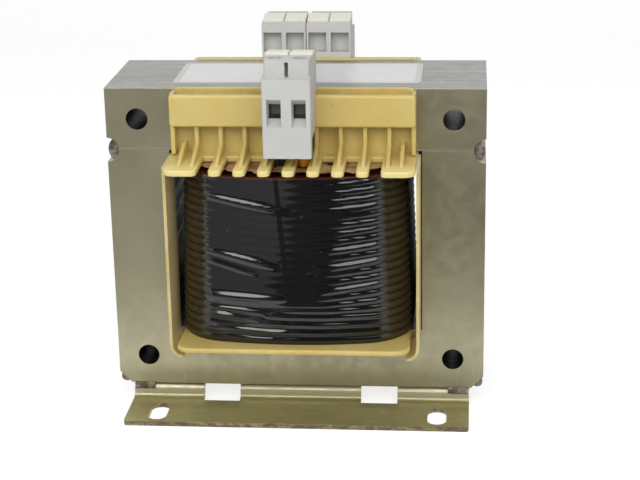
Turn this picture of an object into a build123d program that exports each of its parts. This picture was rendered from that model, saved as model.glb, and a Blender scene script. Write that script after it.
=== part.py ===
from build123d import *
import math
import os

os.makedirs("parts", exist_ok=True)

# Driving dimensions in millimetres. X runs across the core, Y through the
# lamination stack from front to rear, Z up from the surface the feet stand on.

# Laminated core
tongue_width = 50.0
window_width = 25.0
window_height = 75.0
limb_width = 25.0
yoke_height = 25.0
stack_depth = 52.0
bolt_bore = 8.4
bolt_inset = 12.5
corner_cut = 5.0
groove_radius = 4.8
bead_crown = 5.6
bead_recess = 0.3
bead_setback = 1.0

# Folded feet
foot_sheet = 2.0
foot_height = 8.0
foot_inset = 5.7
foot_toe = 25.5
foot_seat = 18.0
bend_radius = 1.8
toe_corner = 1.5
slot_width = 7.6
slot_length = 16.2
slot_inset = 12.8
slot_reach = 15.2
relief_width = 15.0
relief_step = 24.0
relief_toe = 3.5
relief_seat = 7.0
tack_radius = 1.7
tack_length = 8.0
tack_inset = 0.6
tack_rise = 0.6

# Coil former
tongue_fit = 0.3
tube_wall = 1.6
tube_corner = 1.5
flange_thickness = 2.2
flange_overhang = 29.4
flange_inset = 4.0
flange_corner = 6.0
flange_fit = 0.3
face_fit = 0.15
carrier_inset = 0.4
carrier_wall = 1.85
carrier_rise = 0.6
carrier_corner = 3.5
cheek_wall = 1.6
cheek_lift = 0.6
pocket_depth = 5.5
rail_thickness = 2.5
rail_height = 12.5
rail_drop = 0.6
rail_corner = 1.2
rail_round = 0.9
rib_thickness = 1.5
finger_pitch = 9.4
finger_width = 4.7
finger_root = 0.5
finger_tip = 2.2
end_finger = 7.0
end_corner = 4.5
flange_round = 1.0
finger_round = 0.5
gusset_height = 5.0
gusset_length = 15.0
end_gusset_step = 5.2

# Side insulators in the core windows
liner_thickness = 1.2
liner_fit = 0.4
liner_reach = 21.0
liner_curl = 4.0
liner_gap = 0.3
liner_drop = 1.0
comb_fit = 0.2

# Windings, from the tube outwards
layer_fit = 0.1
coil_side_room = 6.9
coil_end_room = 8.7
primary_share = 0.58
paper_wrap = 0.8
film_thickness = 0.9
film_bulge = 0.55
film_lean = 2.2
inner_crown = 2.0
outer_crown = 6.5
inner_corner = 10.0
outer_corner = 18.0
turn_pitch = 3.2
coil_drop = 5.0
head_inset = 0.6
head_thickness = 2.2

# Terminal blocks, two poles each
block_gap = 0.3
block_depth = 17.8
block_corner = 0.8
rail_fit = 0.2
heel_fit = 0.3
leg_drop = 6.0
body_drop = 0.6
apron_wall = 4.0
apron_drop = 7.0
ledge_rise = 10.4
tower_rise = 6.4
tower_setback = 4.0
tower_shoulder = 0.7
slit_width = 1.4
slit_depth = 5.0
slit_roof = 0.8
pocket_post = 1.9
pocket_side = 0.8
pocket_low = 3.6
pocket_height = 8.2
pocket_cut = 5.0
latch_grip = 0.7
latch_width = 5.0
latch_height = 1.4
mouth_width = 5.4
mouth_height = 10.8
mouth_drop = 8.1
mouth_depth = 4.5
socket_width = 4.6
socket_height = 5.4
pole_wall = 1.1
chamber_depth = 9.5
chamber_low = 9.9
chamber_high = 6.6
cage_fit = 0.2
cage_roof = 2.4
wire_room = 0.6
bar_width = 4.4
bar_thickness = 1.0
bar_fit = 0.2
tail_drop = 6.4
screw_bore = 5.2
screw_head = 4.7
screw_head_height = 2.4
screw_shank = 3.5
screw_fit = 0.1
screw_slot = 0.8
screw_slot_depth = 1.0
marker_inset = 3.0
marker_depth = 9.0
marker_fall = 1.3
marker_thickness = 1.2
marker_gap = 0.3
marker_corner = 0.6

# Leads and label
twin_lead = 2.1
sleeve_lead = 4.2
rear_lead = 3.4
label_length = 98.5
label_width = 36.0
label_offset = 1.0
label_corner = 2.0
label_thickness = 0.25

# Places worked out from the driving dimensions
tongue_half = tongue_width / 2
limb_face = tongue_half + window_width
half_width = limb_face + limb_width
half_depth = stack_depth / 2
core_low = foot_height
window_low = core_low + yoke_height
joint_z = window_low + window_height
core_top = joint_z + yoke_height
bolt_x = half_width - bolt_inset

foot_length = 2 * (half_width - foot_inset)
slot_x = foot_length / 2 - slot_inset
relief_x = slot_x - relief_step

tube_x = tongue_half + tongue_fit
tube_y = half_depth + tongue_fit
top_flange_high = joint_z - flange_fit
top_flange_low = top_flange_high - flange_thickness
low_flange_high = window_low + flange_thickness
flange_reach = half_depth + flange_overhang
flange_half = limb_face - flange_inset
liner_out = limb_face - liner_fit
liner_in = liner_out - liner_thickness
comb_half = liner_in - comb_fit

wall_back = half_depth + face_fit
wall_front = wall_back + carrier_wall
rib_front = wall_front + pocket_depth
rail_front = rib_front + rail_thickness
carrier_half = comb_half - carrier_inset
carrier_top = core_top + carrier_rise
rail_top = core_top - rail_drop
rail_low = rail_top - rail_height
rib_limit = int((comb_half - end_finger) / finger_pitch)
rib_places = [n * finger_pitch for n in range(-rib_limit, rib_limit + 1)]
gap_places = [(n + 0.5) * finger_pitch for n in range(-rib_limit, rib_limit)]

tube_room = tube_wall + layer_fit
coil_x = limb_face - coil_side_room
coil_y = flange_reach - coil_end_room
primary_x = tube_x + tube_room + primary_share * (coil_x - tube_x - tube_room - paper_wrap)
primary_y = tube_y + tube_room + primary_share * (coil_y - tube_y - tube_room - paper_wrap)
coil_low = low_flange_high + layer_fit
coil_high = joint_z - coil_drop
head_low = coil_high + layer_fit
head_high = head_low + head_thickness

block_width = 2 * finger_pitch - block_gap
block_half = block_width / 2
rail_face = rail_front + rail_fit
block_front = rail_face + block_depth
heel = wall_front + heel_fit
bridge_low = rail_top + rail_fit
body_low = rail_low - body_drop
apron_low = body_low - apron_drop
ledge_z = rail_top + ledge_rise
tower_top = ledge_z + tower_rise
tower_front = block_front - tower_setback
chamber_front = block_front - mouth_depth
chamber_back = chamber_front - chamber_depth
chamber_floor = rail_top - chamber_low
chamber_roof = rail_top + chamber_high
chamber_half = finger_pitch / 2 - pole_wall
socket_high = rail_top
socket_low = socket_high - socket_height
socket_mid = (socket_high + socket_low) / 2
bar_low = socket_high + wire_room
bar_high = bar_low + bar_thickness
cage_hole_high = bar_high + bar_fit
cage_hole_low = socket_low - wire_room
screw_y = (chamber_front + chamber_back) / 2
deck_front = heel + marker_inset + marker_depth
deck_slope = math.degrees(math.atan2(marker_fall, deck_front - heel))
bar_back = rail_face + pole_wall + bar_fit
tail_low = body_low - tail_drop


def rectangle_between(x0, x1, y0, y1):
    """A flat rectangle given by its two opposite corners."""
    return Pos((x0 + x1) / 2, (y0 + y1) / 2) * Rectangle(x1 - x0, y1 - y0)


def block_between(x0, x1, y0, y1, z0, z1):
    """A rectangular solid given by its two opposite corners."""
    return Pos(0, 0, z0) * extrude(rectangle_between(x0, x1, y0, y1), amount=z1 - z0)


def plate(outline, y0, y1):
    """Extrudes an outline drawn in X and Z from one Y to another."""
    return extrude(Plane.XZ.offset(-y0) * outline, amount=y0 - y1)


def rib(points, x, thickness):
    """A rib of the given thickness about X, outlined by points in Y and Z."""
    outline = make_face(Polyline(*points, close=True))
    return Pos(x, 0, 0) * extrude(Plane.YZ * outline, amount=thickness / 2, both=True)


def to_front(shape):
    """The same piece on the front of the core."""
    return mirror(shape, about=Plane.XZ)


def save(shape, name):
    """Writes one node, with its solids gathered in one file."""
    export_step(Compound(children=shape.solids()), f"parts/{name}.step")


# Core

def e_outline():
    """Outline of an E lamination, with its windows open upwards."""
    face = rectangle_between(-half_width, half_width, core_low, joint_z)
    face = chamfer(face.vertices().group_by(Axis.Y)[0], corner_cut)
    window_mid = (tongue_half + limb_face) / 2
    for side in (-1, 1):
        face -= Pos(side * window_mid, (window_low + joint_z) / 2) * Rectangle(
            limb_face - tongue_half, joint_z - window_low
        )
        face -= Pos(side * bolt_x, core_low + bolt_inset) * Circle(bolt_bore / 2)
        face -= Pos(side * half_width, joint_z) * Circle(groove_radius)
    return face


def i_outline():
    """Outline of an I lamination, the yoke that closes the core."""
    face = rectangle_between(-half_width, half_width, joint_z, core_top)
    for side in (-1, 1):
        face -= Pos(side * bolt_x, core_top - bolt_inset) * Circle(bolt_bore / 2)
        face -= Pos(side * half_width, joint_z) * Circle(groove_radius)
    return face


def yoke_weld(side):
    """Weld bead lying in the groove between the E and I stacks."""
    groove = Pos(side * half_width, joint_z) * Circle(groove_radius)
    crown = Pos(side * (half_width - bead_recess - bead_crown), joint_z) * Circle(bead_crown)
    return plate(groove & crown, -half_depth + bead_setback, half_depth - bead_setback)


def corner_weld(side):
    """Weld bead along a cut lower corner of the core."""
    middle = corner_cut / 2
    bead = Pos(side * (half_width - middle), core_low + middle) * Circle(middle - bead_recess)
    return plate(bead - e_outline(), -half_depth + bead_setback, half_depth - bead_setback)


# Feet

def foot():
    """Rear foot: a sheet folded twice, with reliefs in its web and slots in its toe."""
    inner = min(bend_radius, foot_height / 2 - foot_sheet)
    outer = inner + foot_sheet
    web = half_depth - foot_sheet
    toe = half_depth + foot_toe
    seat = half_depth - foot_seat
    seat_low = foot_height - foot_sheet
    outline = make_face(
        Polyline(
            (toe, 0),
            (web, 0),
            (web, seat_low),
            (seat, seat_low),
            (seat, foot_height),
            (half_depth, foot_height),
            (half_depth, foot_sheet),
            (toe, foot_sheet),
            close=True,
        )
    )
    for y, z, radius in (
        (web, 0, outer),
        (web, seat_low, inner),
        (half_depth, foot_height, outer),
        (half_depth, foot_sheet, inner),
    ):
        corner = outline.vertices().sort_by_distance((y, z, 0))[0]
        outline = fillet(corner, radius)
    body = extrude(Plane.YZ * outline, amount=foot_length / 2, both=True)
    toe_edges = body.edges().filter_by(Axis.Z).group_by(Axis.Y)[-1]
    body = fillet(toe_edges, toe_corner)
    for side in (-1, 1):
        slot = Pos(side * slot_x, half_depth + slot_reach) * SlotOverall(
            slot_length, slot_width, rotation=90
        )
        body -= extrude(slot, amount=foot_height)
        middle = side * relief_x
        body -= block_between(
            middle - relief_width / 2,
            middle + relief_width / 2,
            half_depth - relief_seat,
            half_depth + relief_toe,
            0,
            foot_height,
        )
    return body


def foot_tacks(bracket, core):
    """Weld tacks between the core's lower edge and the bend at both ends of a foot."""
    tacks = []
    for side in (-1, 1):
        middle = side * (foot_length / 2 - tack_inset - tack_length / 2)
        bead = Pos(middle, half_depth - tack_inset, core_low - tack_radius + tack_rise)
        bead *= Rot(0, 90, 0) * Cylinder(tack_radius, tack_length)
        tacks.append(bead - bracket - core)
    return Compound(children=tacks)


# Coil former

def flange_outline():
    """Plan of the upper flange, whose ends are split into fingers."""
    tip = min(finger_tip, finger_width / 2 - comb_fit)
    root = rib_front + finger_root
    gap = finger_pitch - finger_width
    face = rectangle_between(-comb_half, comb_half, -flange_reach, flange_reach)
    for x in gap_places:
        for side in (-1, 1):
            face -= Pos(x, side * (root + flange_reach) / 2) * Rectangle(gap, flange_reach - root)
    ends = [v for v in face.vertices() if abs(v.Y) > flange_reach - comb_fit]
    outer = [v for v in ends if abs(v.X) > comb_half - comb_fit]
    face = fillet([v for v in ends if v not in outer], tip)
    return fillet([v for v in face.vertices() if abs(v.X) > comb_half - comb_fit], end_corner)


def carrier():
    """Rear terminal carrier: wall, cheeks, ribs, rail and finger gussets."""
    wall = rectangle_between(-carrier_half, carrier_half, top_flange_low, carrier_top)
    wall = fillet(wall.vertices().group_by(Axis.Y)[-1], carrier_corner)
    body = plate(wall, wall_back, wall_front)
    rail = rectangle_between(-carrier_half, carrier_half, rail_low, rail_top)
    rail = plate(fillet(rail.vertices(), rail_corner), rib_front, rail_front)
    body += fillet(rail.faces().sort_by(Axis.Y)[-1].edges(), rail_round)
    for side in (-1, 1):
        middle = side * (carrier_half - cheek_wall / 2)
        body += rib(
            [
                (wall_back, top_flange_high + cheek_lift),
                (rib_front, top_flange_high + cheek_lift),
                (rib_front, rail_top),
                (wall_back, rail_top),
            ],
            middle,
            cheek_wall,
        )
        body += gusset(side * (rib_limit * finger_pitch + end_gusset_step))
    for x in rib_places:
        body += rib(
            [
                (wall_back, top_flange_low),
                (rib_front, top_flange_low),
                (rib_front, rail_top - rail_corner),
                (wall_back, rail_top - rail_corner),
            ],
            x,
            rib_thickness,
        )
        body += gusset(x)
    return body


def gusset(x):
    """Sloping stiffener that runs out along a finger."""
    return rib(
        [
            (wall_back, top_flange_low),
            (rib_front + gusset_length, top_flange_low),
            (rib_front + gusset_length, top_flange_high),
            (rib_front, top_flange_high + gusset_height),
            (wall_back, top_flange_high + gusset_height),
        ],
        x,
        rib_thickness,
    )


def coil_former():
    """Moulded former: tube, two flanges and a terminal carrier at each end."""
    low = Pos(0, 0, window_low) * extrude(
        RectangleRounded(2 * flange_half, 2 * flange_reach, flange_corner), amount=flange_thickness
    )
    low = fillet(low.edges().group_by(Axis.Z)[0] + low.edges().group_by(Axis.Z)[-1], flange_round)
    high = Pos(0, 0, top_flange_low) * extrude(flange_outline(), amount=flange_thickness)
    high = fillet(high.edges().group_by(Axis.Z)[-1], finger_round)
    tube = Pos(0, 0, window_low) * extrude(
        RectangleRounded(2 * (tube_x + tube_wall), 2 * (tube_y + tube_wall), tube_corner),
        amount=top_flange_high - window_low,
    )
    rear = carrier()
    body = low + high + tube + rear + to_front(rear)
    return body - extrude(Rectangle(2 * tube_x, 2 * tube_y), amount=top_flange_high)


def side_liner():
    """Insulating sheet between the coil and the right limb, curled in at its free lower ends."""
    wall = rectangle_between(liner_in, liner_out, window_low, top_flange_high - liner_drop)
    sheet = plate(wall, -half_depth - liner_reach, half_depth + liner_reach)
    centre = liner_out - liner_curl - liner_thickness
    curl = Pos(centre, window_low) * (Circle(liner_out - centre) - Circle(liner_in - centre))
    curl &= rectangle_between(centre, liner_out, window_low - liner_out + centre, window_low)
    ear = plate(curl, half_depth + liner_gap, half_depth + liner_reach)
    return sheet + ear + to_front(ear)


# Windings

def tube_plan():
    """Plan of the former's tube, with room for the first layer."""
    return RectangleRounded(2 * (tube_x + tube_room), 2 * (tube_y + tube_room), tube_corner + layer_fit)


def layer_plan(x, y, corner, crown):
    """Plan of a layer that reaches to X at its sides and, crowned, to Y at its ends."""
    face = make_face(
        [
            ThreePointArc((x, y - crown), (0, y), (-x, y - crown)),
            Line((-x, y - crown), (-x, crown - y)),
            ThreePointArc((-x, crown - y), (0, -y), (x, crown - y)),
            Line((x, crown - y), (x, y - crown)),
        ]
    )
    return fillet(face.vertices(), corner)


def layer(inner, outer):
    """A layer of the coil between two plans."""
    return Pos(0, 0, coil_low) * extrude(outer - inner, amount=coil_high - coil_low)


def film_profile():
    """Section of the film drawn over the turns at the side of the coil."""
    inner = coil_x + layer_fit
    turns = int((coil_high - coil_low) / turn_pitch)
    step = (coil_high - coil_low) / turns

    def base(level):
        return inner + film_thickness + film_lean * (1 - level / turns)

    edges = []
    for n in range(turns):
        low = (base(n), coil_low + n * step)
        crest = (base(n + 0.5) + film_bulge, coil_low + (n + 0.5) * step)
        high = (base(n + 1), coil_low + (n + 1) * step)
        edges.append(ThreePointArc(low, crest, high))
    edges.append(
        Polyline((base(turns), coil_high), (inner, coil_high), (inner, coil_low), (base(0), coil_low))
    )
    return make_face(edges)


def film_wrap(plan):
    """Outer film pulled tight over the turns, swept round a plan."""
    half = plan & rectangle_between(-half_width, half_width, 0, half_width)
    route = Wire([edge for edge in half.edges() if edge.center().Y > layer_fit])
    wrap = sweep(Plane.XZ * film_profile(), path=route)
    return wrap + mirror(wrap, about=Plane.XZ)


def head_paper(inner, outer):
    """Paper that closes the coil's upper end, under the fingers."""
    ring = offset(outer, amount=-head_inset) - inner
    return Pos(0, 0, head_low) * extrude(ring, amount=head_thickness)


# Terminal blocks, modelled on the rear rail

def housing(x):
    """Two-pole terminal housing centred on X, hooked over the rail."""
    outline = make_face(
        Polyline(
            (block_front, apron_low),
            (block_front, ledge_z),
            (heel, ledge_z),
            (heel, bridge_low),
            (rail_face, bridge_low),
            (rail_face, body_low),
            (block_front - apron_wall, body_low),
            (block_front - apron_wall, apron_low),
            close=True,
        )
    )
    body = extrude(Plane.YZ * outline, amount=block_half, both=True)
    body = fillet(body.edges().filter_by(Axis.Z).group_by(Axis.Y)[-1], block_corner)
    tower_half = block_half - tower_shoulder
    tower = make_face(
        Polyline(
            (-block_half, heel),
            (block_half, heel),
            (tower_half, tower_front),
            (-tower_half, tower_front),
            close=True,
        )
    )
    tower = fillet(tower.vertices().group_by(Axis.Y)[-1], block_corner)
    body += Pos(0, 0, ledge_z) * extrude(tower, amount=tower_rise)
    body -= block_between(
        -slit_width / 2,
        slit_width / 2,
        tower_front - slit_depth,
        tower_front,
        ledge_z,
        tower_top - slit_roof,
    )
    deck = [(heel, tower_top - marker_fall), (deck_front, tower_top), (heel, tower_top)]
    body -= rib(deck, 0, block_width)
    for side in (-1, 1):
        body = pole(body, side * finger_pitch / 2)
    return Pos(x, 0, 0) * body


def pole(body, x):
    """Adds one pole's hooks to a housing and cuts its wire entry, chamber and screw shaft."""
    leg_half = (finger_pitch - rib_thickness) / 2 - heel_fit
    body += block_between(
        x - leg_half, x + leg_half, heel, rib_front - rail_fit, rail_top - leg_drop, bridge_low
    )
    body += rib(
        [
            (rail_face + apron_wall, body_low + body_drop),
            (rail_face + apron_wall, body_low - latch_height),
            (rib_front + latch_grip, rail_low - rail_fit - latch_height),
            (rib_front + latch_grip, rail_low - rail_fit),
            (rail_face, rail_low - rail_fit),
        ],
        x,
        latch_width,
    )
    pocket_x = sorted([math.copysign(pocket_post / 2, x), math.copysign(block_half - pocket_side, x)])
    pocket_z = rail_top + pocket_low
    body -= block_between(*pocket_x, heel, heel + pocket_cut, pocket_z, pocket_z + pocket_height)
    mouth_mid = rail_top - mouth_drop + mouth_height / 2
    mouth = Plane.XZ.offset(-block_front) * Pos(x, mouth_mid) * Rectangle(mouth_width, mouth_height)
    throat = Plane.XZ.offset(-chamber_front) * Pos(x, socket_mid) * Rectangle(socket_width, socket_height)
    body -= loft([mouth, throat])
    body -= block_between(
        x - chamber_half, x + chamber_half, chamber_back, chamber_front, chamber_floor, chamber_roof
    )
    shaft = Pos(x, screw_y, chamber_roof) * extrude(Circle(screw_bore / 2), amount=tower_top - chamber_roof)
    body -= shaft
    slot_half = bar_width / 2 + bar_fit
    leg_back = bar_back - bar_fit
    leg_front = bar_back + bar_thickness + bar_fit
    body -= block_between(x - slot_half, x + slot_half, leg_back, leg_front, tail_low, cage_hole_high)
    body -= block_between(
        x - slot_half, x + slot_half, leg_back, chamber_back, bar_low - bar_fit, cage_hole_high
    )
    return body


def clamp_cage(x):
    """Clamp cage of one pole, standing on its chamber's floor."""
    half = chamber_half - cage_fit
    back = chamber_back + cage_fit
    front = chamber_front - cage_fit
    body = block_between(x - half, x + half, back, front, chamber_floor, cage_hole_high + cage_roof)
    hole_half = socket_width / 2 + cage_fit
    body -= block_between(x - hole_half, x + hole_half, back, front, cage_hole_low, cage_hole_high)
    thread = Pos(x, screw_y, cage_hole_high) * extrude(Circle(screw_shank / 2 + screw_fit), amount=cage_roof)
    return body - thread


def clamp_screw(x):
    """Slotted clamp screw of one pole, bearing on the contact bar."""
    head_low_z = cage_hole_high + cage_roof
    shank = Pos(x, screw_y, bar_high) * extrude(Circle(screw_shank / 2), amount=head_low_z - bar_high)
    head = Pos(x, screw_y, head_low_z) * extrude(Circle(screw_head / 2), amount=screw_head_height)
    head_top = head_low_z + screw_head_height
    slot = block_between(
        x - screw_head, x + screw_head, screw_y - screw_slot / 2, screw_y + screw_slot / 2,
        head_top - screw_slot_depth, head_top,
    )
    return shank + head - slot


def contact_bar(x):
    """Contact bar of one pole: a flat arm in the cage and a tail below the housing."""
    arm = chamber_front - cage_fit
    return rib(
        [
            (bar_back, tail_low),
            (bar_back, bar_high),
            (arm, bar_high),
            (arm, bar_low),
            (bar_back + bar_thickness, bar_low),
            (bar_back + bar_thickness, tail_low),
        ],
        x,
        bar_width,
    )


def marker(x):
    """Blank marker plate on the sloping deck over the rear half of one pole."""
    width = finger_pitch - tower_shoulder / 2 - marker_gap
    outline = rectangle_between(x - width / 2, x + width / 2, 0, marker_thickness)
    outline = fillet(outline.vertices().group_by(Axis.Y)[-1], marker_corner)
    return Pos(0, deck_front, tower_top) * Rot(deck_slope, 0, 0) * plate(outline, -marker_depth, 0)


def lead(x, y, diameter):
    """Straight run of a lead from the coil's head to a contact tail."""
    return Pos(x, y, head_high) * extrude(Circle(diameter / 2), amount=tail_low - head_high)


def pole_places(x):
    """The two pole places of a block centred on X."""
    return [x - finger_pitch / 2, x + finger_pitch / 2]


def terminal_block(x):
    """All pieces of one rear block, by the last part of their node's name."""
    poles = pole_places(x)
    return {
        "housing": housing(x),
        "clamp_cages": Compound(children=[clamp_cage(p) for p in poles]),
        "clamp_screws": Compound(children=[clamp_screw(p) for p in poles]),
        "contact_bars": Compound(children=[contact_bar(p) for p in poles]),
        "markers": Compound(children=[marker(p) for p in poles]),
    }


# Assembly

e_stack = plate(e_outline(), -half_depth, half_depth)
i_stack = plate(i_outline(), -half_depth, half_depth)
save(e_stack, "e_lamination_stack")
save(i_stack, "i_lamination_stack")

rear_foot = foot()
tacks = foot_tacks(rear_foot, e_stack)
save(rear_foot, "rear_foot")
save(to_front(rear_foot), "front_foot")
save(tacks, "rear_foot_tacks")
save(to_front(tacks), "front_foot_tacks")

right_liner = side_liner()
save(right_liner, "right_side_liner")
save(mirror(right_liner, about=Plane.YZ), "left_side_liner")
for name, side in (("left", -1), ("right", 1)):
    save(yoke_weld(side), f"{name}_yoke_weld")
    save(corner_weld(side), f"{name}_corner_weld")

save(coil_former(), "coil_former")
tube = tube_plan()
primary = layer_plan(primary_x, primary_y, inner_corner, inner_crown)
wrapped = layer_plan(primary_x + paper_wrap, primary_y + paper_wrap, inner_corner + paper_wrap, inner_crown)
secondary = layer_plan(coil_x, coil_y, outer_corner, outer_crown)
save(layer(tube, primary), "primary_winding")
save(layer(primary, wrapped), "interlayer_paper")
save(layer(wrapped, secondary), "secondary_winding")
save(film_wrap(secondary), "outer_film")
save(head_paper(tube, secondary), "head_paper")

for name, shape in terminal_block(0).items():
    save(to_front(shape), f"front_{name}")
for name, x in (("rear_left", -finger_pitch), ("rear_right", finger_pitch)):
    for piece, shape in terminal_block(x).items():
        save(shape, f"{name}_{piece}")

lead_y = bar_back + bar_thickness / 2
left_pole, right_pole = pole_places(0)
twin = [lead(left_pole + side * twin_lead / 2, lead_y, twin_lead) for side in (-1, 1)]
save(to_front(Compound(children=twin)), "front_twin_lead")
save(to_front(lead(right_pole, lead_y, sleeve_lead)), "front_sleeved_lead")
rear_poles = pole_places(-finger_pitch) + pole_places(finger_pitch)
save(Compound(children=[lead(x, lead_y, rear_lead) for x in rear_poles]), "rear_leads")

label = Pos(0, label_offset, core_top) * extrude(
    RectangleRounded(label_length, label_width, label_corner), amount=label_thickness
)
save(label, "blank_label")
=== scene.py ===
import logging
import math
from contextlib import contextmanager
from dataclasses import dataclass
from enum import Enum
from typing import Callable, Dict, Iterator, List, Sequence, Tuple, Union

import bpy
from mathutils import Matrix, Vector, noise


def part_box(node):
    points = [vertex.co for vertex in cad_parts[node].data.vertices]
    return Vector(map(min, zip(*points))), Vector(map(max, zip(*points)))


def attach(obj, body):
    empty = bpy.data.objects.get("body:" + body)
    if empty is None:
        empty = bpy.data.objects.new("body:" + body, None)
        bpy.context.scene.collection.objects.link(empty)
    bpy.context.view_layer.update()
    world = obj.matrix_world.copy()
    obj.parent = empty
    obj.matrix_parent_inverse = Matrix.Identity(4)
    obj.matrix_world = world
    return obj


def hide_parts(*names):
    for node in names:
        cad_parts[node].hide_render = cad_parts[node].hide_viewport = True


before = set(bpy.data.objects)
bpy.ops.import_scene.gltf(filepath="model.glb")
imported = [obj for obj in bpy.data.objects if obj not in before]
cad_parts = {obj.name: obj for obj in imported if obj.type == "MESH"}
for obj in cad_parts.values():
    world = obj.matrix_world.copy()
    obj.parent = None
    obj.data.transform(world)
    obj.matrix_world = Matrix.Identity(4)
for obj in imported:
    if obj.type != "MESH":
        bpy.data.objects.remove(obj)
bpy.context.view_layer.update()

MM = 0.001
Colour = Tuple[float, float, float]
Point = Tuple[float, float, float]
Socket = bpy.types.NodeSocket
Tree = bpy.types.NodeTree
Node = bpy.types.Node
Material = bpy.types.Material
Piece = bpy.types.Object
Feed = Union[Socket, float, Sequence[float], None]
log = logging.getLogger("transformer")


class Side(Enum):
    """The two sides of the core, seen from the single terminal block."""

    LEFT = -1
    RIGHT = 1


class Block(Enum):
    """The terminal blocks, by the first part of their nodes' names."""

    FRONT = "front"
    REAR_LEFT = "rear_left"
    REAR_RIGHT = "rear_right"


class Wiring:
    """Places nodes in a node tree and joins them up."""

    def __init__(self, tree: Tree) -> None:
        """Starts on a tree.

        Args:
            tree: The material's or the group's node tree.
        """
        self.tree = tree

    def feed(self, socket: Socket, value: Feed) -> None:
        """Joins a socket to another one, or sets its value.

        Args:
            socket: The input to feed.
            value: An output socket, a number, a colour or a vector.
        """
        if isinstance(value, Socket):
            self.tree.links.new(value, socket)
        elif isinstance(value, (int, float)):
            socket.default_value = value
        else:
            socket.default_value = (tuple(value) + (1.0,))[: len(socket.default_value)]

    def add(self, kind: str, inputs: Dict[Union[str, int], Feed], **settings: object) -> Node:
        """Adds a node.

        Args:
            kind: The node's type.
            inputs: What feeds its inputs, by name or number.
            **settings: The node's own settings.

        Returns:
            The new node.
        """
        node = self.tree.nodes.new(kind)
        for name, value in settings.items():
            setattr(node, name, value)
        for socket, value in inputs.items():
            self.feed(node.inputs[socket], value)
        return node

    def math(self, operation: str, first: Feed, second: Feed = 0.0) -> Socket:
        """Works out one number from two.

        Args:
            operation: The Math node's operation.
            first: The first number.
            second: The second number.

        Returns:
            The result's socket.
        """
        return self.add("ShaderNodeMath", {0: first, 1: second}, operation=operation).outputs[0]

    def times(self, first: Feed, second: Feed) -> Socket:
        """Multiplies two numbers."""
        return self.math("MULTIPLY", first, second)

    def plus(self, first: Feed, second: Feed) -> Socket:
        """Adds two numbers."""
        return self.math("ADD", first, second)

    def minus(self, first: Feed, second: Feed) -> Socket:
        """Takes the second number from the first."""
        return self.math("SUBTRACT", first, second)

    def size(self, value: Feed) -> Socket:
        """Gives a number without its sign."""
        return self.math("ABSOLUTE", value)

    def blend(self, share: Feed, first: Feed, second: Feed) -> Socket:
        """Blends two colours.

        Args:
            share: How much of the second colour shows.
            first: The first colour.
            second: The second colour.

        Returns:
            The blended colour's socket.
        """
        return self.add("ShaderNodeMix", {0: share, 6: first, 7: second}, data_type="RGBA").outputs[2]

    def ease(self, value: Feed, low: float, high: float, start: Feed = 0.0, end: Feed = 1.0) -> Socket:
        """Eases a number from one level to another.

        Args:
            value: The number.
            low: Where the change begins.
            high: Where the change ends.
            start: The level at the beginning.
            end: The level at the end.

        Returns:
            The level's socket.
        """
        inputs = {"Value": value, "From Min": low, "From Max": high, "To Min": start, "To Max": end}
        return self.add("ShaderNodeMapRange", inputs, interpolation_type="SMOOTHSTEP").outputs[0]

    def place(self, scale: Point = (1.0, 1.0, 1.0), turn: Point = (0.0, 0.0, 0.0)) -> Socket:
        """Gives the piece's own coordinates, stretched and turned.

        Args:
            scale: The stretch along each axis.
            turn: The turn about each axis, in radians.

        Returns:
            The coordinates' socket.
        """
        own = self.add("ShaderNodeTexCoord", {}).outputs["Object"]
        return self.add("ShaderNodeMapping", {"Vector": own, "Scale": scale, "Rotation": turn}).outputs[0]

    def along(self, axis: str) -> Socket:
        """Gives one of the piece's own coordinates, in metres."""
        return self.add("ShaderNodeSeparateXYZ", {0: self.place()}).outputs[axis]

    def facing(self, axis: str) -> Socket:
        """Gives how far the surface faces along an axis, whichever way."""
        normal = self.add("ShaderNodeTexCoord", {}).outputs["Normal"]
        return self.math("ABSOLUTE", self.add("ShaderNodeSeparateXYZ", {0: normal}).outputs[axis])

    def noise(self, vector: Feed, scale: Feed, detail: float = 3.0, roughness: float = 0.55) -> Socket:
        """Adds a cloudy noise.

        Args:
            vector: The coordinates it is read at.
            scale: How fine it is.
            detail: How many finer layers it has.
            roughness: How strong the finer layers are.

        Returns:
            The noise's level.
        """
        inputs = {"Vector": vector, "Scale": scale, "Detail": detail, "Roughness": roughness}
        return self.add("ShaderNodeTexNoise", inputs).outputs[0]


class Effect:
    """A shader node group that several finishes share."""

    def __init__(self, name: str, inputs: Dict[str, float], outputs: Sequence[str]) -> None:
        """Makes the group and its sockets; every group also takes Vector.

        Args:
            name: The group's name.
            inputs: Its number inputs and their usual values.
            outputs: Its number outputs.
        """
        self.tree = bpy.data.node_groups.new(name, "ShaderNodeTree")
        self.tree.interface.new_socket("Vector", in_out="INPUT", socket_type="NodeSocketVector")
        for label, value in inputs.items():
            socket = self.tree.interface.new_socket(label, in_out="INPUT", socket_type="NodeSocketFloat")
            socket.default_value = value
        for label in outputs:
            self.tree.interface.new_socket(label, in_out="OUTPUT", socket_type="NodeSocketFloat")
        self.wiring = Wiring(self.tree)
        self.entry = self.wiring.add("NodeGroupInput", {}).outputs
        self.exit = self.wiring.add("NodeGroupOutput", {}).inputs


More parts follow.
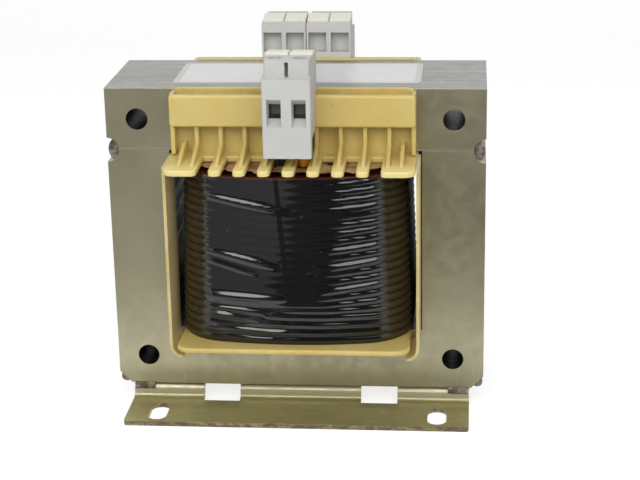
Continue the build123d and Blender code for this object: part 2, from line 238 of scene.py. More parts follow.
class Effects:
    """The effects, each built once."""

    def __init__(self) -> None:
        """Builds every effect."""
        self.mottle = self._mottle()
        self.specks = self._specks()
        self.scratches = self._scratches()

    @staticmethod
    def _mottle() -> Tree:
        """Builds soft patches with finer clouds in them."""
        effect = Effect("mottle", {"Scale": 60.0, "Contrast": 1.0}, ("Mask", "Height"))
        wiring, entry = effect.wiring, effect.entry
        broad = wiring.noise(entry["Vector"], entry["Scale"], 2.0)
        fine = wiring.noise(entry["Vector"], wiring.times(entry["Scale"], 9.0), 4.0, 0.65)
        both = wiring.plus(wiring.times(broad, 0.7), wiring.times(fine, 0.3))
        swing = wiring.times(wiring.minus(both, 0.5), entry["Contrast"])
        wiring.feed(effect.exit["Mask"], wiring.ease(swing, -0.22, 0.22))
        wiring.feed(effect.exit["Height"], fine)
        return effect.tree

    @staticmethod
    def _specks() -> Tree:
        """Builds sparse round grains of dust."""
        effect = Effect("specks", {"Scale": 400.0, "Size": 0.12, "Amount": 0.3}, ("Mask",))
        wiring, entry = effect.wiring, effect.entry
        cells = wiring.add("ShaderNodeTexVoronoi", {"Vector": entry["Vector"], "Scale": entry["Scale"]})
        grain = wiring.math("LESS_THAN", cells.outputs["Distance"], entry["Size"])
        lot = wiring.add("ShaderNodeSeparateColor", {0: cells.outputs["Color"]}).outputs[0]
        wiring.feed(
            effect.exit["Mask"], wiring.times(grain, wiring.math("LESS_THAN", lot, entry["Amount"]))
        )
        return effect.tree

    @staticmethod
    def _scratches() -> Tree:
        """Builds fine broken lines; the vector's stretch gives their direction."""
        effect = Effect("scratches", {"Scale": 90.0, "Width": 0.012, "Amount": 0.5}, ("Mask",))
        wiring, entry = effect.wiring, effect.entry
        field = wiring.noise(entry["Vector"], entry["Scale"], 1.0)
        gap = wiring.size(wiring.minus(field, 0.5))
        line = wiring.math("LESS_THAN", gap, entry["Width"])
        patch = wiring.noise(entry["Vector"], wiring.times(entry["Scale"], 0.6), 1.0)
        worn = wiring.math("LESS_THAN", patch, entry["Amount"])
        wiring.feed(effect.exit["Mask"], wiring.times(line, worn))
        return effect.tree


EFFECTS = Effects()


class Paint(Wiring):
    """A node material round one Principled shader."""

    def __init__(self, name: str, **constants: Feed) -> None:
        """Makes the material.

        Args:
            name: The material's name.
            **constants: Values set on the shader's own sockets, by name with _ for each space.
        """
        self.material = bpy.data.materials.new(name)
        self.material.use_nodes = True
        super().__init__(self.material.node_tree)
        self.shader = self.tree.nodes["Principled BSDF"]
        for socket, value in constants.items():
            self.feed(self.shader.inputs[socket.replace("_", " ")], value)

    def effect(self, tree: Tree, vector: Feed, **values: float) -> Node:
        """Places a shared effect.

        Args:
            tree: The effect's group.
            vector: The coordinates it is read at.
            **values: Its inputs' values.

        Returns:
            The group node.
        """
        node = self.add("ShaderNodeGroup", {}, node_tree=tree)
        for socket, value in {"Vector": vector, **values}.items():
            self.feed(node.inputs[socket], value)
        return node

    def mottle(self, scale: float, contrast: float) -> Node:
        """Places the patches at the piece's own coordinates."""
        return self.effect(EFFECTS.mottle, self.place(), Scale=scale, Contrast=contrast)

    def rounded(self, radius: float) -> Socket:
        """Gives a normal that softens the edges, as a press or a mould leaves them."""
        return self.add("ShaderNodeBevel", {"Radius": radius}, samples=6).outputs[0]

    def relief(self, height: Feed, depth: float, normal: Feed = None, strength: float = 1.0) -> Socket:
        """Raises the surface by a height map.

        Args:
            height: The height, from 0 to 1.
            depth: The depth in metres of the full height.
            normal: The normal that it starts from, if any.
            strength: How much of it shows.

        Returns:
            The raised normal.
        """
        inputs = {"Height": height, "Distance": depth, "Strength": strength}
        if normal is not None:
            inputs["Normal"] = normal
        return self.add("ShaderNodeBump", inputs).outputs[0]

    def dress(self, **sockets: Feed) -> Material:
        """Feeds the shader and hands over the material.

        Args:
            **sockets: What feeds the shader, by name with _ for each space.

        Returns:
            The finished material.
        """
        for socket, value in sockets.items():
            self.feed(self.shader.inputs[socket.replace("_", " ")], value)
        return self.material


@dataclass(frozen=True)
class LaminationFinish:
    """Varnished electrical steel: olive sheet faces and grey cut edges, painted darker towards the bottom as
    shade, with a painted highlight above the E/I joint.
    """

    sheet: Colour = (0.49, 0.460, 0.310)
    sheet_dark: Colour = (0.38, 0.358, 0.240)
    joint_z: float = 108.0 * MM
    bore_x: float = 62.5 * MM
    bore_reach: float = 4.35 * MM
    bore_z: Tuple[float, float] = (20.5 * MM, 120.5 * MM)
    # Painted shade: the sheet is darker towards the bottom of the core, over these heights.
    bottom_shade: Colour = (0.22, 0.20, 0.125)
    bottom_shade_z: Tuple[float, float] = (11.0 * MM, 19.0 * MM)
    edge: Colour = (0.44, 0.435, 0.41)
    edge_dark: Colour = (0.20, 0.195, 0.18)
    line_scale: float = 1900.0
    edge_round: float = 0.35 * MM

    def material(self) -> Material:
        """Builds the material."""
        paint = Paint("lamination_steel", Metallic=0.8)
        patches = paint.mottle(22.0, 1.2)
        grain = paint.noise(paint.place((25.0, 25.0, 900.0)), 1.0, 2.0)
        sheet = paint.blend(patches.outputs["Mask"], self.sheet, self.sheet_dark)
        # Painted shade: darker towards the bottom of the core, above the feet.
        sheet = paint.blend(paint.ease(paint.along("Z"), *self.bottom_shade_z, 0.5, 0.0), sheet, self.bottom_shade)
        lines = paint.noise(paint.place((14.0, self.line_scale, 14.0)), 1.0, 2.0, 0.6)
        contrast = paint.ease(lines, 0.34, 0.66)
        edge = paint.blend(contrast, self.edge_dark, self.edge)
        is_sheet = paint.ease(paint.facing("Y"), 0.6, 0.8)
        colour = paint.blend(is_sheet, edge, sheet)
        slanted = paint.place((1.0, 1.0, 0.12), (0.0, 0.5, 0.0))
        scuffs = paint.effect(EFFECTS.scratches, slanted, Scale=120.0, Width=0.006, Amount=0.42)
        colour = paint.blend(paint.times(scuffs.outputs["Mask"], 0.18), colour, (0.6, 0.58, 0.5))
        above = paint.minus(paint.along("Z"), self.joint_z)
        # Painted highlight: a lighter band just above the E/I joint, where the edge of the I sheets catches the
        # light; the dark line at the joint is the seam itself.
        burr_and_highlight = paint.ease(paint.size(paint.minus(above, 0.45 * MM)), 0.2 * MM, 0.5 * MM, 1.0, 0.0)
        seam = paint.ease(paint.size(above), 0.1 * MM, 0.3 * MM, 1.0, 0.0)
        colour = paint.blend(paint.times(burr_and_highlight, 0.45), colour, (0.62, 0.6, 0.52))
        colour = paint.blend(paint.times(seam, 0.6), colour, (0.1, 0.095, 0.07))
        colour = paint.blend(self._in_bore(paint), colour, (0.012, 0.011, 0.009))
        rough = paint.ease(patches.outputs["Height"], 0.3, 0.7, 0.32, 0.44)
        height = paint.plus(paint.times(grain, 0.15), lines)
        return paint.dress(
            Base_Color=colour,
            Roughness=rough,
            Normal=paint.relief(height, 0.05 * MM, paint.rounded(self.edge_round), 0.5),
        )

    def _in_bore(self, paint: Paint) -> Socket:
        """Gives how far a place lies in one of the unlit bolt holes, with a glint left on some sheets.

        Args:
            paint: The material's wiring.

        Returns:
            The share of darkness.
        """
        low, high = self.bore_z
        off_x = paint.minus(paint.size(paint.along("X")), self.bore_x)
        level = paint.size(paint.minus(paint.along("Z"), (low + high) / 2.0))
        off_z = paint.minus(level, (high - low) / 2.0)
        square = paint.plus(paint.times(off_x, off_x), paint.times(off_z, off_z))
        near = paint.math("LESS_THAN", paint.math("SQRT", square), self.bore_reach)
        glint = paint.noise(paint.place((40.0, self.line_scale, 40.0)), 1.0, 1.0)
        return paint.times(near, paint.ease(glint, 0.60, 0.68, 0.95, 0.4))


@dataclass(frozen=True)
class WeldFinish:
    """Rough weld metal with rippled beads and heat tint."""

    metal: Colour = (0.34, 0.31, 0.27)
    scale_brown: Colour = (0.16, 0.10, 0.055)
    tint: Colour = (0.17, 0.12, 0.19)

    def material(self) -> Material:
        """Builds the material."""
        paint = Paint("weld_metal", Metallic=0.75)
        patches = paint.mottle(320.0, 1.8)
        broad = paint.mottle(90.0, 1.6)
        colour = paint.blend(patches.outputs["Mask"], self.metal, self.scale_brown)
        colour = paint.blend(paint.times(broad.outputs["Mask"], 0.4), colour, self.tint)
        ripple = paint.add(
            "ShaderNodeTexWave",
            {"Vector": paint.place(), "Scale": 160.0, "Distortion": 3.5, "Detail": 2.0, "Detail Scale": 2.0},
            bands_direction="Y",
        ).outputs[1]
        height = paint.plus(ripple, patches.outputs["Height"])
        return paint.dress(
            Base_Color=colour,
            Roughness=paint.ease(patches.outputs["Mask"], 0.0, 1.0, 0.3, 0.6),
            Normal=paint.relief(height, 0.5 * MM),
        )


@dataclass(frozen=True)
class PassivatedFinish:
    """Yellow passivated sheet with a raw sheared edge, its upright web painted lighter as a reflection."""

    sheet: Colour = (0.365, 0.328, 0.138)
    cloud: Colour = (0.28, 0.252, 0.104)
    # Painted reflection: the upright web is lighter, as its bend faces the light.
    web_sheen: Colour = (0.46, 0.435, 0.29)
    raw: Colour = (0.13, 0.088, 0.062)
    edge_round: float = 0.3 * MM

    def material(self) -> Material:
        """Builds the material."""
        paint = Paint("passivated_steel", Metallic=0.45)
        patches = paint.effect(EFFECTS.mottle, paint.place((0.5, 1.0, 1.0)), Scale=45.0, Contrast=1.5)
        streaks = paint.noise(paint.place((12.0, 420.0, 420.0)), 1.0, 3.0)
        colour = paint.blend(patches.outputs["Mask"], self.sheet, self.cloud)
        colour = paint.blend(paint.times(streaks, 0.25), colour, (0.5, 0.46, 0.26))
        level = paint.along("Z")
        # Painted reflection: the upright faces above the flange are lighter.
        upright_sheen = paint.times(paint.facing("Y"), paint.ease(level, 2.4 * MM, 3.4 * MM))
        colour = paint.blend(upright_sheen, colour, self.web_sheen)
        sheared = paint.times(paint.facing("Y"), paint.math("LESS_THAN", level, 2.1 * MM))
        # Ragged noise for the raw burr of the sheared edge.
        burr_and_highlight = paint.noise(paint.place((300.0, 300.0, 900.0)), 1.0, 4.0, 0.7)
        colour = paint.blend(paint.times(sheared, paint.ease(burr_and_highlight, 0.40, 0.56, 0.30, 1.0)), colour, self.raw)
        drawn = paint.place((0.25, 1.0, 1.0))
        scuffs = paint.effect(EFFECTS.scratches, drawn, Scale=150.0, Width=0.008, Amount=0.45)
        colour = paint.blend(paint.times(scuffs.outputs["Mask"], 0.25), colour, (0.62, 0.6, 0.45))
        return paint.dress(
            Base_Color=colour,
            Roughness=paint.ease(patches.outputs["Height"], 0.3, 0.7, 0.28, 0.42),
            Normal=paint.relief(streaks, 0.03 * MM, paint.rounded(self.edge_round), 0.6),
        )


@dataclass(frozen=True)
class MouldingFinish:
    """Moulded plastic with soft edges and a fine skin."""

    name: str
    colour: Colour
    shade: Colour
    roughness: float
    depth_weight: float = 0.0
    depth_radius: Colour = (1.0, 0.6, 0.3)
    edge_round: float = 0.4 * MM
    patch_scale: float = 40.0
    # Painted highlight: a paler colour on the finger tips, far out at the front and back and high up.
    tip: Colour = (0.0, 0.0, 0.0)
    tip_highlight_reach: float = 0.0
    tip_highlight_level: float = 100.0 * MM

    def material(self) -> Material:
        """Builds the material."""
        paint = Paint(
            self.name,
            Subsurface_Weight=self.depth_weight,
            Subsurface_Radius=self.depth_radius,
            Subsurface_Scale=2.5 * MM,
        )
        patches = paint.mottle(self.patch_scale, 1.3)
        skin = paint.noise(paint.place(), 2600.0, 2.0)
        dust = paint.effect(EFFECTS.specks, paint.place(), Scale=260.0, Size=0.1, Amount=0.1)
        colour = paint.blend(paint.times(patches.outputs["Mask"], 0.7), self.colour, self.shade)
        # Painted highlight on the far, high finger tips.
        if self.tip_highlight_reach:
            reach = paint.size(paint.along("Y"))
            out = paint.ease(reach, self.tip_highlight_reach, self.tip_highlight_reach + 9 * MM)
            high = paint.ease(paint.along("Z"), self.tip_highlight_level - 5 * MM, self.tip_highlight_level)
            colour = paint.blend(paint.times(out, high), colour, self.tip)
        colour = paint.blend(paint.times(dust.outputs["Mask"], 0.35), colour, (0.25, 0.2, 0.14))
        low, high = self.roughness - 0.06, self.roughness + 0.08
        return paint.dress(
            Base_Color=colour,
            Roughness=paint.ease(patches.outputs["Height"], 0.3, 0.7, low, high),
            Normal=paint.relief(skin, 0.02 * MM, paint.rounded(self.edge_round), 0.35),
        )


@dataclass(frozen=True)
class LinerFinish:
    """Clear yellow sheet, painted near black as shade where it lies inside the unlit window, with painted
    glints there.
    """

    colour: Colour = (0.70, 0.60, 0.30)
    # Painted shade: near black where the liner lies inside the unlit window.
    film: Colour = (0.004, 0.004, 0.004)
    # Painted reflection: pale glints on the liner inside the window.
    glint: Colour = (0.92, 0.90, 0.92)
    window_edge: float = 25.5 * MM

    def material(self) -> Material:
        """Builds the material."""
        paint = Paint(
            "liner_sheet", Subsurface_Weight=0.5, Subsurface_Radius=(1.0, 0.8, 0.4), Subsurface_Scale=2 * MM
        )
        depth = paint.size(paint.along("Y"))
        ragged = paint.plus(depth, paint.times(paint.noise(paint.place(), 60.0), 3.0 * MM))
        # The share of painted shade inside the window, with a ragged edge.
        inside = paint.ease(ragged, self.window_edge + 1.2 * MM, self.window_edge + 2.2 * MM, 1.0, 0.0)
        patches = paint.mottle(50.0, 1.4)
        sheet = paint.blend(patches.outputs["Mask"], self.colour, (0.62, 0.50, 0.22))
        slant = paint.minus(paint.along("Z"), paint.times(paint.along("Y"), 0.16))
        run = paint.times(paint.along("Y"), 28.0)
        across = paint.add("ShaderNodeCombineXYZ", {1: run, 2: paint.times(slant, 420.0)}).outputs[0]
        creases = paint.noise(across, 1.0, 2.0)
        # Painted reflection: glints on the creases, only high up in the window.
        upper = paint.ease(paint.along("Z"), 66 * MM, 74 * MM)
        glint = paint.times(paint.ease(creases, 0.50, 0.57), upper)
        # Painted shade inside the window, with painted glints high up.
        film = paint.blend(glint, self.film, self.glint)
        return paint.dress(
            Base_Color=paint.blend(inside, sheet, film),
            Roughness=paint.ease(inside, 0.0, 1.0, 0.4, 0.3),
            Normal=paint.relief(creases, 0.5 * MM, None, 0.4),
        )


@dataclass(frozen=True)
class FilmFinish:
    """Black film drawn over the turns, brownish where the corners stretch it thin, most on the crests of the
    turns; the brown is partly the film's own tint and partly a painted reflection of the yellow liners.
    """

    middle: Colour = (0.0050, 0.0050, 0.0050)
    # Partly the stretched film's own tint, partly a painted reflection of the yellow liners.
    thin: Colour = (0.044, 0.0365, 0.0145)
    edge: Colour = (0.085, 0.016, 0.012)
    dust: Colour = (0.20, 0.20, 0.19)
    corner_start: float = 32.0 * MM
    corner_end: float = 39.5 * MM
    edge_z: float = 102.3 * MM
    turn_floor: float = 35.3 * MM
    turn_pitch: float = 67.7 * MM / 21

    def material(self) -> Material:
        """Builds the material."""
        paint = Paint("wrap_film", IOR=1.5)
        across = paint.size(paint.along("X"))
        wander = paint.times(paint.noise(paint.place((1.0, 1.0, 2.0)), 45.0, 2.0), 4.0 * MM)
        corner = paint.ease(
            paint.plus(across, wander), self.corner_start + 2 * MM, self.corner_end + 2 * MM
        )
        turns = paint.math("DIVIDE", paint.minus(paint.along("Z"), self.turn_floor), self.turn_pitch)
        crest = paint.size(paint.minus(paint.math("FRACT", turns), 0.5))
        # Brown on the crests, near black in the valleys: partly the film's tint, partly a painted reflection of
        # the liners.
        thin = paint.blend(paint.ease(crest, 0.22, 0.46, 0.0, 0.85), self.thin, self.middle)
        colour = paint.blend(corner, self.middle, thin)
        dust = paint.effect(EFFECTS.specks, paint.place(), Scale=520.0, Size=0.08, Amount=0.04)
        colour = paint.blend(dust.outputs["Mask"], colour, self.dust)
        ragged = paint.times(paint.noise(paint.place(), 170.0, 3.0), 0.9 * MM)
        rim = paint.ease(paint.plus(paint.along("Z"), ragged), self.edge_z + 0.3 * MM, self.edge_z + 0.8 * MM)
        colour = paint.blend(rim, colour, self.edge)
        drawn = paint.noise(paint.place((30.0, 30.0, 260.0)), 1.0, 3.0, 0.5)
        haze = paint.noise(paint.place(), 120.0, 3.0)
        rough = paint.plus(paint.ease(haze, 0.35, 0.7, 0.08, 0.13), paint.times(corner, 0.20))
        return paint.dress(
            Base_Color=colour,
            Specular_IOR_Level=paint.ease(corner, 0.0, 1.0, 0.72, 0.42),
            Roughness=rough,
            Normal=paint.relief(drawn, 0.25 * MM, None, 0.12),
        )


@dataclass(frozen=True)
class PaperFinish:
    """Crumpled tan insulating paper."""

    colour: Colour = (0.46, 0.31, 0.13)
    shade: Colour = (0.26, 0.13, 0.05)
    stain: Colour = (0.20, 0.035, 0.02)

    def material(self) -> Material:
        """Builds the material."""
        paint = Paint("insulating_paper", Roughness=0.7)
        patches = paint.mottle(140.0, 2.0)
        fibres = paint.noise(paint.place(), 1200.0, 3.0, 0.7)
        colour = paint.blend(patches.outputs["Mask"], self.colour, self.shade)
        soaked = paint.ease(paint.noise(paint.place((1.0, 1.0, 0.2)), 95.0, 3.0), 0.60, 0.68)
        colour = paint.blend(paint.times(soaked, 0.75), colour, self.stain)
        return paint.dress(Base_Color=colour, Normal=paint.relief(fibres, 0.12 * MM, None, 0.7))


@dataclass(frozen=True)
class MetalFinish:
    """Plain worked metal: wire, cages, screws and contact bars."""

    name: str
    colour: Colour
    shade: Colour
    roughness: float

    def material(self) -> Material:
        """Builds the material."""
        paint = Paint(self.name, Metallic=1.0)
        patches = paint.mottle(180.0, 1.5)
        turned = paint.noise(paint.place((200.0, 200.0, 2400.0)), 1.0, 2.0)
        colour = paint.blend(patches.outputs["Mask"], self.colour, self.shade)
        low, high = self.roughness - 0.06, self.roughness + 0.08
        return paint.dress(
            Base_Color=colour,
            Roughness=paint.ease(patches.outputs["Height"], 0.3, 0.7, low, high),
            Normal=paint.relief(turned, 0.03 * MM, None, 0.5),
        )


@dataclass(frozen=True)
class InsulationFinish:
    """Extruded wire insulation or sleeve, glossy along its length."""

    name: str
    colour: Colour
    shade: Colour
    roughness: float = 0.28

    def material(self) -> Material:
        """Builds the material."""
        paint = Paint(self.name)
        drawn = paint.noise(paint.place((700.0, 700.0, 60.0)), 1.0, 2.0)
        colour = paint.blend(paint.ease(drawn, 0.35, 0.65), self.colour, self.shade)
        rough = paint.ease(drawn, 0.3, 0.7, self.roughness - 0.05, self.roughness + 0.07)
        return paint.dress(Base_Color=colour, Roughness=rough, Normal=paint.relief(drawn, 0.05 * MM, None, 0.5))


@dataclass(frozen=True)
class LabelFinish:
    """Bare white film with a clear border."""

    face: Colour = (0.80, 0.80, 0.80)
    border: Colour = (0.62, 0.61, 0.59)
    half_length: float = 46.8 * MM
    half_width: float = 16.4 * MM
    centre_y: float = 1.0 * MM

    def material(self) -> Material:
        """Builds the material."""
        paint = Paint("label_film", Coat_Roughness=0.12)
        across = paint.size(paint.along("X"))
        deep = paint.size(paint.minus(paint.along("Y"), self.centre_y))
        out_x = paint.math("GREATER_THAN", across, self.half_length)
        out_y = paint.math("GREATER_THAN", deep, self.half_width)
        clear = paint.math("MAXIMUM", out_x, out_y)
        patches = paint.mottle(70.0, 1.0)
        face = paint.blend(paint.times(patches.outputs["Mask"], 0.3), self.face, (0.74, 0.74, 0.74))
        waves = paint.noise(paint.place((18.0, 30.0, 1.0)), 1.0, 1.0)
        return paint.dress(
            Base_Color=paint.blend(clear, face, self.border),
            Roughness=paint.ease(patches.outputs["Height"], 0.3, 0.7, 0.32, 0.44),
            Coat_Weight=paint.times(patches.outputs["Mask"], 0.25),
            Normal=paint.relief(waves, 0.25 * MM, None, 0.5),
        )


class Bench:
    """Edit-mode moves, as a modeller makes them."""

    @staticmethod
    def clear() -> None:
        """Deselects every object."""
        bpy.ops.object.select_all(action="DESELECT")

    @staticmethod
    def pick(obj: Piece) -> None:
        """Makes one object the selected and active one."""
        Bench.clear()
        obj.select_set(True)
        bpy.context.view_layer.objects.active = obj

    @staticmethod
    @contextmanager
    def edit(obj: Piece, mode: str = "VERT") -> Iterator[None]:
        """Opens an object in edit mode and closes it again.

        Args:
            obj: The object to shape.
            mode: The selection mode, VERT, EDGE or FACE.

        Yields:
            Nothing; the work goes in the block.
        """
        Bench.pick(obj)
        bpy.context.tool_settings.mesh_select_mode = [mode == kind for kind in ("VERT", "EDGE", "FACE")]
        bpy.ops.object.mode_set(mode="EDIT")
        try:
            yield
        finally:
            bpy.ops.object.mode_set(mode="OBJECT")

    @staticmethod
    def settle(obj: Piece, name: str) -> Piece:
        """Puts an object's place into its mesh and names it.

        Args:
            obj: The object.
            name: Its piece's name.

        Returns:
            The same object.
        """
        Bench.pick(obj)
        bpy.ops.object.transform_apply(location=True, rotation=True, scale=True)
        obj.name = name
        obj.data.name = name
        return obj

    @staticmethod
    def mark_edges(obj: Piece, test: Callable[[Vector, Vector], bool]) -> None:
        """Selects the edges whose two ends pass a test, and nothing else."""
        mesh = obj.data
        mesh.polygons.foreach_set("select", [False] * len(mesh.polygons))
        mesh.vertices.foreach_set("select", [False] * len(mesh.vertices))
        for edge in mesh.edges:
            first, second = (mesh.vertices[n].co for n in edge.vertices)
            edge.select = test(first, second)

    @staticmethod
    def mark_faces(obj: Piece, test: Callable[[Vector, Vector], bool]) -> None:
        """Selects the faces whose centre and normal pass a test, and nothing else."""
        mesh = obj.data
        mesh.vertices.foreach_set("select", [False] * len(mesh.vertices))
        mesh.edges.foreach_set("select", [False] * len(mesh.edges))
        for face in mesh.polygons:
            face.select = test(face.center, face.normal)

    @staticmethod
    def split_edges(obj: Piece, cuts: int, test: Callable[[Vector, Vector], bool]) -> None:
        """Subdivides the edges that pass a test.

        Args:
            obj: The object.
            cuts: How many cuts each edge gets.
            test: Takes an edge's two ends.
        """
        Bench.mark_edges(obj, test)
        with Bench.edit(obj, "EDGE"):
            bpy.ops.mesh.subdivide(number_cuts=cuts)

    @staticmethod
    def drop_faces(obj: Piece, test: Callable[[Vector, Vector], bool]) -> None:
        """Deletes the faces that pass a test."""
        Bench.mark_faces(obj, test)
        with Bench.edit(obj, "FACE"):
            bpy.ops.mesh.delete(type="FACE")

    @staticmethod
    def press(obj: Piece, name: str, height: float, weight: Callable[[Vector], float]) -> None:
        """Pushes the surface out along its normals, by a weight at each vertex.

        Args:
            obj: The object.
            name: The weights' name.
            height: The push in metres at weight 1.
            weight: Takes a vertex's place and gives its weight.
        """
        group = obj.vertex_groups.new(name=name)
        for vertex in obj.data.vertices:
            group.add([vertex.index], min(max(weight(vertex.co), 0.0), 1.0), "REPLACE")
        Bench.pick(obj)
        push = obj.modifiers.new(name, "DISPLACE")
        push.strength = height
        push.mid_level = 0.0
        push.vertex_group = name
        bpy.ops.object.modifier_apply(modifier=push.name)
        obj.vertex_groups.remove(obj.vertex_groups[name])

    @staticmethod
    def thicken(obj: Piece, thickness: float) -> None:
        """Gives a sheet its thickness.

        Args:
            obj: The sheet.
            thickness: Its thickness in metres, out along the normals.
        """
        Bench.pick(obj)
        wall = obj.modifiers.new("wall", "SOLIDIFY")
        wall.thickness = thickness
        wall.offset = 1.0
        bpy.ops.object.modifier_apply(modifier=wall.name)

    @staticmethod
    def smooth(obj: Piece, angle: float) -> None:
        """Shades an object smooth up to an angle in degrees."""
        Bench.pick(obj)
        bpy.ops.object.shade_smooth_by_angle(angle=math.radians(angle))


def dress_node(node: str, material: Material) -> None:
    """Gives a CAD node its material.

    Args:
        node: The node's name.
        material: Its material.
    """
    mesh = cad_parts[node].data
    mesh.materials.clear()
    mesh.materials.append(material)
    log.info("dressed %s with %s", node, material.name)


def mount(piece: Piece, slot: str, material: Material, *nodes: str) -> None:
    """Puts a new piece on the part, in place of the nodes that it stands for.

    Args:
        piece: The new piece.
        slot: The name of its material slot; not used.
        material: Its material.
        *nodes: The CAD nodes that it replaces.
    """
    piece.data.materials.clear()
    piece.data.materials.append(material)
    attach(piece, "root")
    if nodes:
        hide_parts(*nodes)
    log.info("built %s: %d faces", piece.name, len(piece.data.polygons))


def step(value: float, low: float, high: float) -> float:
    """Eases from 0 at low to 1 at high."""
    share = min(max((value - low) / (high - low), 0.0), 1.0)
    return share * share * (3.0 - 2.0 * share)


@dataclass
class LaminatedCore:
    """The welded stack of E and I sheets."""

    finish: LaminationFinish = LaminationFinish()
    weld: WeldFinish = WeldFinish()

    def dress(self) -> None:
        """Gives the stacks and their welds their materials."""
        steel = self.finish.material()
        bead = self.weld.material()
        for node in ("e_lamination_stack", "i_lamination_stack"):
            dress_node(node, steel)
        for side in Side:
            name = side.name.lower()
            dress_node(f"{name}_yoke_weld", bead)
            dress_node(f"{name}_corner_weld", bead)
        for node in ("front_foot_tacks", "rear_foot_tacks"):
            dress_node(node, bead)


@dataclass
class FoldedFeet:
    """The two folded sheet feet."""

    finish: PassivatedFinish = PassivatedFinish()

    def dress(self) -> None:
        """Gives both feet their material."""
        sheet = self.finish.material()
        for node in ("front_foot", "rear_foot"):
            dress_node(node, sheet)


@dataclass
class Former:
    """The moulded coil former and the liners beside it."""

    moulding: MouldingFinish = MouldingFinish(
        "former_plastic",
        colour=(0.70, 0.57, 0.210),
        shade=(0.62, 0.46, 0.140),
        roughness=0.36,
        depth_weight=0.55,
        depth_radius=(1.0, 0.62, 0.2),
        edge_round=0.7 * MM,
        # Painted highlight on the finger tips.
        tip=(0.88, 0.74, 0.33),
        tip_highlight_reach=43 * MM,
    )
    liner: LinerFinish = LinerFinish()

    def dress(self) -> None:
        """Gives the former and the liners their materials."""
        dress_node("coil_former", self.moulding.material())
        sheet = self.liner.material()
        for side in Side:
            dress_node(f"{side.name.lower()}_side_liner", sheet)


@dataclass(frozen=True)
class Fold:
    """A tension fold in the film, from one place to another on the front, in metres."""

    start: Tuple[float, float]
    end: Tuple[float, float]
    width: float
    height: float

    def weight(self, x: float, z: float) -> float:
        """Gives the fold's height at a place, tapered at both ends.

        Args:
            x: The place across the coil.
            z: The place up the coil.

        Returns:
            The height, from 0 to about 1.
        """
        run, rise = self.end[0] - self.start[0], self.end[1] - self.start[1]
        span = run * run + rise * rise
        share = ((x - self.start[0]) * run + (z - self.start[1]) * rise) / span
        if not 0.0 < share < 1.0:
            return 0.0
        off = (x - self.start[0]) * rise - (z - self.start[1]) * run
        across = off / math.sqrt(span) / self.width
        return self.height * math.sin(math.pi * share) ** 0.6 * math.exp(-across * across)


